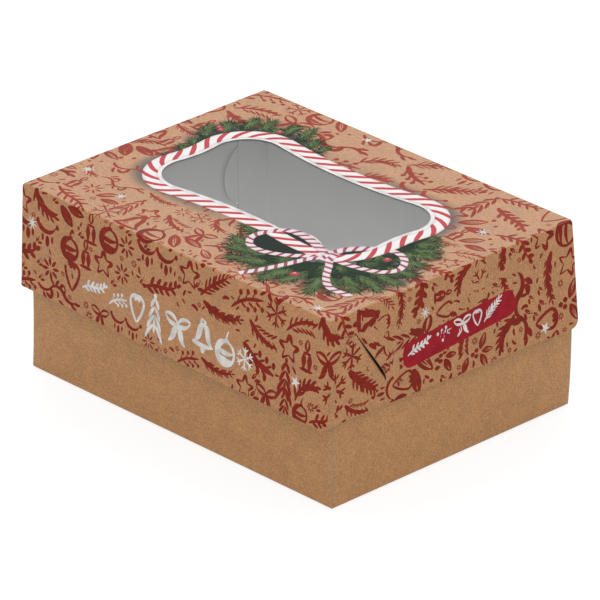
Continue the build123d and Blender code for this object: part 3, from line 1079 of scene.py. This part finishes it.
def stroke_map(bm, marks):
    """Keep the way along and across each stroke as a UV, in metres."""
    layer = bm.loops.layers.uv.new("stroke")
    bm.verts.index_update()
    caps = len(bm.verts) - 4 * len(marks)  # the corners of the end caps come first
    for face in bm.faces:
        for corner in face.loops:
            x, y, gone = marks[max(corner.vert.index - caps, 0) // 4]
            side = 1 if corner.vert.index % 4 in (0, 3) else -1
            across = side * math.dist((x, y), corner.vert.co.xy)
            corner[layer].uv = (gone * MM, across * MM)


def split(strokes, kept):
    """The parts of strokes whose points are kept, with one point more at each cut."""
    parts = []
    for stroke in strokes:
        part = []
        for i, (x, y, half) in enumerate(stroke):
            if kept(x, y):
                if not part and i:
                    part.append(stroke[i - 1])
                part.append((x, y, half))
            elif part:
                part.append((x, y, half))
                parts.append(part)
                part = []
        parts.append(part)
    return [part for part in parts if len(part) > 1]


def lay_print(name, finish, strokes, lift, step=0.0, outline=None, mapped=False):
    """Print strokes on the lid, folded with it."""
    bm = print_mesh(strokes, lift, step, mapped)
    if outline:
        trim(bm, outline)
    for place, end in ((HALF, 1), (-HALF, 1), (CORNER, -1), (-CORNER, -1)):
        score(bm, crease_lines((place,), "u"),
              lambda m: abs(m.x - place) < CREASE_REACH and end * (m.y - FRONT) > -2)
    score(bm, crease_lines((FRONT,), "v"), lambda m: abs(m.y - FRONT) < CREASE_REACH)
    lay_on(bm, fold_lid)
    piece(bm, name, "lid", [finish])


def lay_patch(name, finish, loops, lift, depth=0.002):
    """Print a filled shape on the lid."""
    bm = filled(loops)
    bmesh.ops.translate(bm, verts=bm.verts[:], vec=(0, 0, lift))
    thicken(bm, depth)
    lay_on(bm, fold_lid)
    piece(bm, name, "lid", [finish])


def red_print(finishes):
    """The all-over print: what crosses the outline is cut with the board."""
    low, high = (-HALF - DROP, FRONT - DROP), (HALF + DROP, BACK)
    hole, outline = window_loop(PRINT_HOLE), lid_outline()

    def kept(x, y):
        if y > FRONT and abs(x) < HALF and within(hole, x, y):
            return False
        if any(math.dist((x, y), (u, v)) < 0.4 * inner + 0.5 * outer for u, v, inner, outer in FIR_SHADE):
            return False
        if y < FRONT and abs(x) > CORNER:
            return from_slit(abs(x) - CORNER, FRONT - y)[0] < EAR_BARE and within(outline, x, y)
        drop = abs(x) - HALF
        past, share = from_slit(y - FRONT, drop)
        if drop > 0 and SLIT_BARE[0] < past < SLIT_BARE[1] and 0.0 < share < 1.02:
            return False
        return within(outline, x, y)

    strokes = rows(low, high, ROW_PITCH, 41, BARE_PATCHES)
    strokes = split(strokes + fillers(strokes, low, high, 5, BARE_PATCHES), kept)
    top, skirt = [], []
    for stroke in strokes:
        x, y, _ = stroke[len(stroke) // 2]
        group, weight = (top, TOP_WEIGHT) if y > FRONT and abs(x) < HALF else (skirt, SKIRT_WEIGHT)
        group.append([(x, y, weight * half) for x, y, half in stroke])
    # the top's strokes get the lighter red ink, which is painted glare
    for name, finish, group in zip(("top_print", "skirt_print"), finishes, (top, skirt)):
        lay_print(name, finish, group, LIFT["red"], STROKE_STEP, outline)


def in_a_row(names, left, base, gap, weight):
    """Motifs side by side: where each starts, and its strokes."""
    for name, size in names:
        drawn, right = motif(name, left, base(size), size, False, weight)
        yield left, drawn
        left = right + gap


def white_print(finish):
    """A white row on the front, stars and snow bursts, and the row on the tag."""
    def white_base(size):
        return WHITE_START[1] + 0.35 * (14 - size)

    strokes = []
    for _, drawn in in_a_row(WHITE_ROW, WHITE_START[0], white_base, 0.7, WHITE_WEIGHT):
        strokes += drawn
    for x, y, size, arms in STARS:
        strokes += star(x, y, size, arms)
    lay_print("white_print", finish, strokes, LIFT["white"], STROKE_STEP)
    strokes = []
    for left, drawn in in_a_row(TAG_ROW, 0.0, lambda size: -0.4, 0.6, TAG_WEIGHT):
        # turned to run up the right skirt towards the back
        strokes += [[(TAG_START[0] - TAG_SLANT * left - y, TAG_START[1] + x, half) for x, y, half in stroke]
                    for stroke in drawn]
    lay_print("tag_row", finish, strokes, LIFT["tag_row"], STROKE_STEP)


def slit_shade(finish):
    """Painted shade in the two slits: a dark print on the tips that are tucked in, where the gap's shadow
    falls.
    """
    places = [SLIT_SLACK + (SLIT_LENGTH - 2 * SLIT_SLACK) * i / 12 for i in range(13)]
    strokes = [[(*on_ear(side, *by_slit(along, SLIT_SHADE_PAST)), SLIT_SHADE_HALF) for along in places]
               for side in (-1, 1)]
    lay_print("slit_shade", finish, strokes, LIFT["slit"], outline=lid_outline())


def star(x, y, size, arms):
    """Tapered arms about a middle: a star of five, or a snow burst of eight."""
    thick, thin = (0.30, 0.02) if arms == 5 else (0.16, 0.07)
    return [[(*polar(x, y, 0.5 * size * t, i / arms + 0.21),
              0.5 * size * max(thick * (1 - t) ** 0.8, thin)) for t in (0.0, 0.35, 0.7, 1.0)]
            for i in range(arms)]


def tag(finish):
    """The dark red band on the right skirt, with rounded and slightly rough ends."""
    draw = random.Random(9)
    start, stop, half = Vector((131.2, -27.4)), Vector((126.2, 28.8)), 6.3
    length, stroke = (stop - start).length, []
    for i in range(61):
        along = i / 60 * (length + 2 * half) - half
        end = max(-along, along - length, 0.0) / half
        place = start + (stop - start).normalized() * along
        wide = max(1 - end**3, 0.02) ** (1 / 3) * draw.uniform(0.98, 1.015)
        stroke.append((place.x, place.y, half * wide))
    lay_print("tag", finish, [stroke], LIFT["tag"])


# The border, the fir and the bow round the window

KNOT = (52.2, -32.0)
BORDER_INNER, BORDER_OUTER = 1.9, 9.0
BORDER_HALF = (BORDER_OUTER - BORDER_INNER) / 2
STRIPE_PERIOD = 9.2
FROM_KNOT = [KNOT, (57.6, -27.6), (60.9, -22.5), (62.9, -15.5), (63.5, -7.0)]
TO_KNOT = [(12.5, -31.0), (26.7, -32.8), (38.6, -33.4), KNOT]
CORD_HALF = 1.75
TWIST_PERIOD = 4.8
STRAND_HALF = 2.3  # where a loop lies over the window's edge
LEFT_LOOP = [KNOT, (47.9, -30.2), (44.0, -28.7), (38.7, -26.7), (33.1, -25.1), (27.6, -24.3), (23.2, -24.4),
             (19.5, -25.8), (16.4, -28.8), (14.0, -34.3), (13.0, -38.6), (14.1, -43.1), (19.1, -48.0),
             (28.0, -48.3), (38.1, -43.6), (45.4, -37.0), KNOT]
RIGHT_LOOP = [KNOT, (50.9, -26.4), (51.5, -21.9), (54.0, -17.8), (56.8, -14.4), (60.4, -11.0), (66.0, -7.8),
              (71.8, -7.2), (78.6, -10.8), (82.8, -18.3), (80.4, -24.5), (74.0, -28.6), (63.0, -31.3), KNOT]
TAILS = [[KNOT, (47.5, -39.0), (44.5, -49.8), (40.9, -61.4), (36.6, -71.5)],
         [KNOT, (58.0, -37.2), (66.2, -47.0), (73.8, -52.7), (80.2, -53.3), (87.5, -52.6)]]
WRAPS = [[(49.0, -28.4), (51.2, -31.6), (52.3, -36.2)], [(51.0, -27.4), (53.4, -30.8), (54.8, -35.4)]]


def through(places, step=1.2):
    """A smooth line through a few places."""
    line = []
    ends = [tuple(2 * a - b for a, b in zip(places[0], places[1])), *places,
            tuple(2 * a - b for a, b in zip(places[-1], places[-2]))]
    for p, q, r, s in zip(ends, ends[1:], ends[2:], ends[3:]):
        count = max(2, math.ceil(math.dist(q, r) / step))
        for i in range(count):
            t = i / count
            line.append(tuple(0.5 * (2 * b + (c - a) * t + (2 * a - 5 * b + 4 * c - d) * t * t
                                     + (3 * b - a - 3 * c + d) * t**3) for a, b, c, d in zip(p, q, r, s)))
    return line + [tuple(places[-1])]


def lay_cord(name, finish, places, half, lift, wide=lambda x, y: 0.0):
    """A cord along a line, wider by a share of what a strand over the window's edge has more."""
    stroke = [(x, y, half + (STRAND_HALF - CORD_HALF) * wide(x, y)) for x, y in places]
    lay_print(name, finish, [stroke], lift, mapped=True)


def over_edge(x, y):
    """1 where a loop of the bow lies over the window's edge, and 0 elsewhere."""
    left = smooth((x - 18) / 6) * smooth((50 - x) / 5) * smooth((y + 32) / 3)
    right = smooth((60 - x) / 4) * smooth((y + 29) / 5) * smooth((x - 49) / 1)
    return max(left, right)


def window_border(finish):
    """The striped cord round the window, from the knot and back to it."""
    loop = window_loop((BORDER_INNER + BORDER_OUTER) / 2)
    leave = next(i for i, (x, y) in enumerate(loop) if x > KNOT[0] and y > 3)
    meet = next(i for i, (x, y) in enumerate(loop) if x > 0)
    path = [*through([*FROM_KNOT, loop[leave]])[:-1], *loop[leave:], *loop[:meet],
            *through([loop[meet], *TO_KNOT])]
    lay_cord("window_border", finish, path, BORDER_HALF, LIFT["border"])


def window_rim(finish):
    """The white line along the cut."""
    lay_patch("window_rim", finish, [aperture(BORDER_INNER + 0.5), aperture(0.12)], LIFT["rim"], 0.003)


def bow(cord, shade):
    """The bow of thin twisted cord: two loops round the border, two tails and the knot's wraps."""
    right_patch = [KNOT, *RIGHT_LOOP[1:6], *FROM_KNOT[3:0:-1]]
    for number, patch in enumerate((through(LEFT_LOOP, 3.0)[:-1], through(right_patch, 3.0))):
        lay_patch(f"bow_shade_{number}", shade, [patch], LIFT["bow_shade"])
    for name, places in (("right_loop", RIGHT_LOOP), ("left_loop", LEFT_LOOP)):
        lay_cord(f"bow_{name}", cord, through(places), CORD_HALF, LIFT[name], over_edge)
    for name, lines, half in (("tail", TAILS, CORD_HALF), ("wrap", WRAPS, 1.1 * CORD_HALF)):
        for number, places in enumerate(lines):
            lay_cord(f"bow_{name}_{number}", cord, through(places), half, LIFT[name] + 0.005 * number)


BERRIES = [(54.4, -54.7, 2.6), (72.1, -15.2, 2.2), (-80.2, 27.4, 2.0), (-82.9, 28.9, 1.8),
           (-59.4, 45.0, 2.1)]  # place and radius
BRANCHES = [  # how long the needles are, then points along
    (9, (12, -31), (2, -34)), (9, (16, -38), (6, -37)), (12, (40, -42), (24, -47), (10, -48)),
    (12, (44, -44), (30, -50), (14, -55)), (11, (46, -46), (34, -57), (22, -62)),
    (12, (50, -42), (44, -54), (38, -64)), (12, (51, -42), (49, -56), (47, -67)),
    (12, (53, -40), (57, -52), (55, -62)), (12, (56, -40), (66, -52), (71, -62)),
    (12, (58, -38), (70, -48), (78, -54)), (12, (60, -36), (74, -42), (84, -47)),
    (12, (62, -32), (78, -36), (90, -39)), (12, (66, -28), (80, -29), (92, -29)),
    (11, (68, -22), (80, -20), (90, -19)), (11, (66, -14), (76, -11), (86, -9)),
    (10, (66, -5), (76, -3), (84, 1)), (9, (66, 2), (72, 8), (76, 12)), (9, (66, -1), (74, 1), (81, 6)),
    (9, (66, 5), (73, 6)), (9, (68, -3), (76, -6)), (7, (66, 10), (71, 15)), (11, (53, -38), (61, -43)),
    (11, (58, -34), (65, -37)), (10, (64, -26), (71, -24)), (11, (48, -40), (40, -48)),
    (9, (64, -12), (68, -17)), (8, (-70, -8), (-76, -9)), (8, (-72, -2), (-79, 2)),
    (9, (-72, 6), (-80, 10)), (9, (-72, 14), (-82, 19), (-86, 26)), (10, (-70, 22), (-79, 29), (-82, 35)),
    (10, (-68, 30), (-74, 38), (-76, 46)), (9, (-62, 34), (-67, 43), (-70, 50)),
    (9, (-58, 36), (-62, 46)), (9, (-52, 38), (-57, 48), (-58, 54)), (9, (-45, 38), (-48, 50), (-50, 56)),
    (8, (-38, 38), (-40, 50)), (7, (-31, 38), (-32, 48)),
]


def needles(draw, density, spread, half, start):
    """Fine tapered needles that fan out along the twigs, from a share of each twig's length."""
    strokes = []
    for reach, *places in BRANCHES:
        line = through(places, 2.0)
        last = len(line) - 1
        for _ in range(int(density * 2.0 * last * (1 - start))):
            at = draw.uniform(start, 1.0)
            i = min(int(at * last), last - 1)
            (ax, ay), (bx, by) = line[i], line[i + 1]
            t = at * last - i
            turn = draw.choice((-1, 1)) * draw.uniform(0.0, spread) * math.tau
            heading = math.atan2(by - ay, bx - ax) + turn
            length = reach * draw.uniform(0.55, 1.0) * (1 - 0.3 * at)
            x = ax + (bx - ax) * t + draw.uniform(-1.5, 1.5)
            y = ay + (by - ay) * t + draw.uniform(-1.5, 1.5)
            bend, wide = draw.uniform(-0.35, 0.35), half * draw.uniform(0.8, 1.3)
            strokes.append([(x + math.cos(heading + bend * s) * length * s,
                             y + math.sin(heading + bend * s) * length * s, wide * (1 - 0.8 * s))
                            for s in (0.0, 0.5, 1.0)])
    return strokes


def fir(finishes):
    """Fir twigs round the border: dark behind, then green, then light tips."""
    draw = random.Random(17)
    layers = (("fir_shadow", (3.4, 0.20, 0.42, 0.0)), ("fir_needles", (8.0, 0.17, 0.11, 0.0)),
              ("fir_tips", (6.4, 0.15, 0.07, 0.42)))
    for (name, layer), finish in zip(layers, finishes):
        lay_print(name, finish, needles(draw, *layer), LIFT[name], NEEDLE_STEP)


def berries(finishes):
    """A few round red berries among the fir: dark rim, red side and a soft light spot."""
    for number, (x, y, radius) in enumerate(BERRIES):
        for layer, (share, shift) in enumerate(((1.0, 0.0), (0.78, 0.14), (0.28, 0.34))):
            middle = (x - radius * shift, y + radius * shift)
            loop = [polar(*middle, radius * share, i / 20) for i in range(20)]
            lay_patch(f"berry_{number}_{layer}", finishes[layer], [loop], LIFT["berry"] + 0.006 * layer)


def hinge_crease(finishes):
    """The fold between the tray's back wall and the lid."""
    length, end = CREASE * math.pi / 2, TRAY_X - 0.4
    bm = filled([[(-end, 0), (end, 0), (end, length), (-end, length)]])
    score(bm, [line_at(length * i / 6, "v") for i in range(1, 6)])
    score(bm, grid_lines(-TRAY_X, TRAY_X, HINGE_GRID, "u"))
    make_board(bm)
    for vert in bm.verts:
        turn, out = vert.co.y / length * math.pi / 2, CREASE + vert.co.z
        vert.co = Vector((-vert.co.x, BACK - CREASE + out * math.cos(turn),
                          TOP - CREASE + out * math.sin(turn))) * MM
    bmesh.ops.recalc_face_normals(bm, faces=bm.faces[:])
    strip = piece(bm, "hinge_crease", None, finishes)
    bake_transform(strip)


# Camera, light and stage

CAMERA_TURN = 46.154
CAMERA_RISE = 25.714
CAMERA_AWAY = 3.0
FOCAL_PIXELS = 6600.5
FRAME_PIXELS = 600.0
SENSOR = 36.0
CAMERA_SHIFT = (0.58 * MM, 38.97 * MM)  # of the point looked at, to the right and up from the origin
ROOM_LIGHT = 0.66
FLOOR_LIGHT, FLOOR_LOOK = (0.8, 0.8, 0.8), (0.35, 0.35, 0.35)  # as a thing that gives light, and looked at
FLOOR_GLOW = 0.77
FLOOR_LEVEL = -0.0002


def turn_from(thing, place):
    """Turn a camera or lamp to look back along the way to a place."""
    thing.rotation_euler = (-Vector(place)).to_track_quat("-Z", "Y").to_euler()


def camera():
    turn, rise = math.radians(CAMERA_TURN), math.radians(CAMERA_RISE)
    back = Vector((math.sin(turn) * math.cos(rise), -math.cos(turn) * math.cos(rise), math.sin(rise)))
    right = Vector((math.cos(turn), math.sin(turn), 0))
    aim = right * CAMERA_SHIFT[0] + back.cross(right) * CAMERA_SHIFT[1]
    lens = bpy.data.cameras.new("camera")
    lens.sensor_width = SENSOR
    lens.lens = FOCAL_PIXELS / FRAME_PIXELS * SENSOR
    lens.clip_end = 20.0
    thing = add_object("camera", lens)
    thing.location = aim + back * CAMERA_AWAY
    turn_from(thing, back)
    bpy.context.scene.camera = thing


def world():
    """An even white room, whiter where it is looked at than as a lamp."""
    place = bpy.data.worlds.new("room")
    place.use_nodes = True
    bpy.context.scene.world = place
    nodes = Nodes(place.node_tree)
    strength = ROOM_LIGHT + (1 - ROOM_LIGHT) * nodes.shown()
    nodes.join(nodes.tree.nodes["Background"].inputs["Strength"], strength)
    nodes.join(nodes.tree.nodes["Background"].inputs["Color"], (1, 1, 1))


def lamp(name, power, size, place):
    """A round soft lamp, turned to the box."""
    light = bpy.data.lights.new(name, "AREA")
    light.shape, light.size, light.energy = "DISK", size, power
    thing = add_object(name, light)
    thing.location = place
    turn_from(thing, place)


def floor():
    """A white floor that keeps a faint shadow."""
    bm = bmesh.new()
    bmesh.ops.create_grid(bm, x_segments=1, y_segments=1, size=6.0)
    mesh = bpy.data.meshes.new("floor")
    bm.to_mesh(mesh)
    bm.free()
    thing = add_object("floor", mesh)
    paint = Paint("floor", Roughness=0.9, Specular_IOR_Level=0.0)
    shown = paint.shown()
    paint.feed(Base_Color=paint.blend(shown, FLOOR_LIGHT, FLOOR_LOOK))
    dark, bright = (paint.node("ShaderNodeEmission", {}, Strength=glow) for glow in (0.0, FLOOR_GLOW))
    glow = paint.node("ShaderNodeMixShader", {}, shown, dark, bright)
    both = paint.node("ShaderNodeAddShader", {}, glow, Value(paint, paint.shader.outputs[0]))
    paint.join(paint.tree.nodes["Material Output"].inputs["Surface"], both)
    mesh.materials.append(paint.material)
    thing.location.z = FLOOR_LEVEL


camera()
world()
lamp("key", 14.5, 1.6, (-0.97, 0.94, 1.6))
lamp("fill", 7.8, 1.4, (1.05, -1.05, 1.35))
floor()
inner_side = white_back("white_back")
edge = cut_edge("cut_edge", (0.42, 0.34, 0.27))
lid_sheet([kraft("printed_kraft", KRAFT_LID, True), inner_side, edge,
           # the window's cut edge is a darker copy of the cut edge: painted shade
           cut_edge("window_edge_painted_shade", (0.16, 0.15, 0.14))])
tray_sheet([kraft("plain_kraft", KRAFT_TRAY), white_back("tray_back", True), edge])
hinge_crease([kraft("hinge_kraft", KRAFT_LID), inner_side, edge])
# the top's red ink is a lighter copy of the skirts' red ink: painted glare on the top
red_print([ink("red_ink_top_painted_glare", (0.35, 0.035, 0.016), 0.35, 0.1),
           ink("red_ink", (0.25, 0.016, 0.007), 0.3, 0.1)])
white_print(ink("white_ink", (0.80, 0.77, 0.73), 0.25))
tag(ink("tag_ink", (0.36, 0.009, 0.020), 0.06, 0.1))
# painted shade: a near-black ink laid on the tucked-in tips so that the slits read as dark gaps
slit_shade(ink("slit_painted_shade", (0.012, 0.008, 0.005), 0.0, 0.05))
fir([ink("fir_dark", (0.007, 0.013, 0.009), 0.0, 0.05), ink("fir_green", (0.012, 0.038, 0.014), 0.0, 0.05),
     ink("fir_light", (0.18, 0.27, 0.10), 0.0, 0.05)])
berries([ink("berry_dark", (0.16, 0.008, 0.012), 0.0), ink("berry_red", (0.42, 0.03, 0.035), 0.0),
         ink("berry_light", (0.72, 0.30, 0.30), 0.0)])
window_rim(ink("rim_ink", (0.85, 0.83, 0.82), 0.0))
window_border(striped("candy_ink", (0.52, 0.02, 0.03), (0.88, 0.84, 0.83), BORDER_HALF, STRIPE_PERIOD,
                      0.43, 1.25, 0.25))
bow(striped("cord_ink", (0.34, 0.035, 0.075), (0.80, 0.70, 0.73), CORD_HALF, TWIST_PERIOD, 0.38, 0.6, 0.0),
    ink("bow_dark", (0.010, 0.020, 0.013), 0.0, 0.05))
film = frame["nodes"]["window_film"]
film.data.materials.clear()
film.data.materials.append(clear_film())

bpy.context.scene.view_settings.view_transform = "Standard"
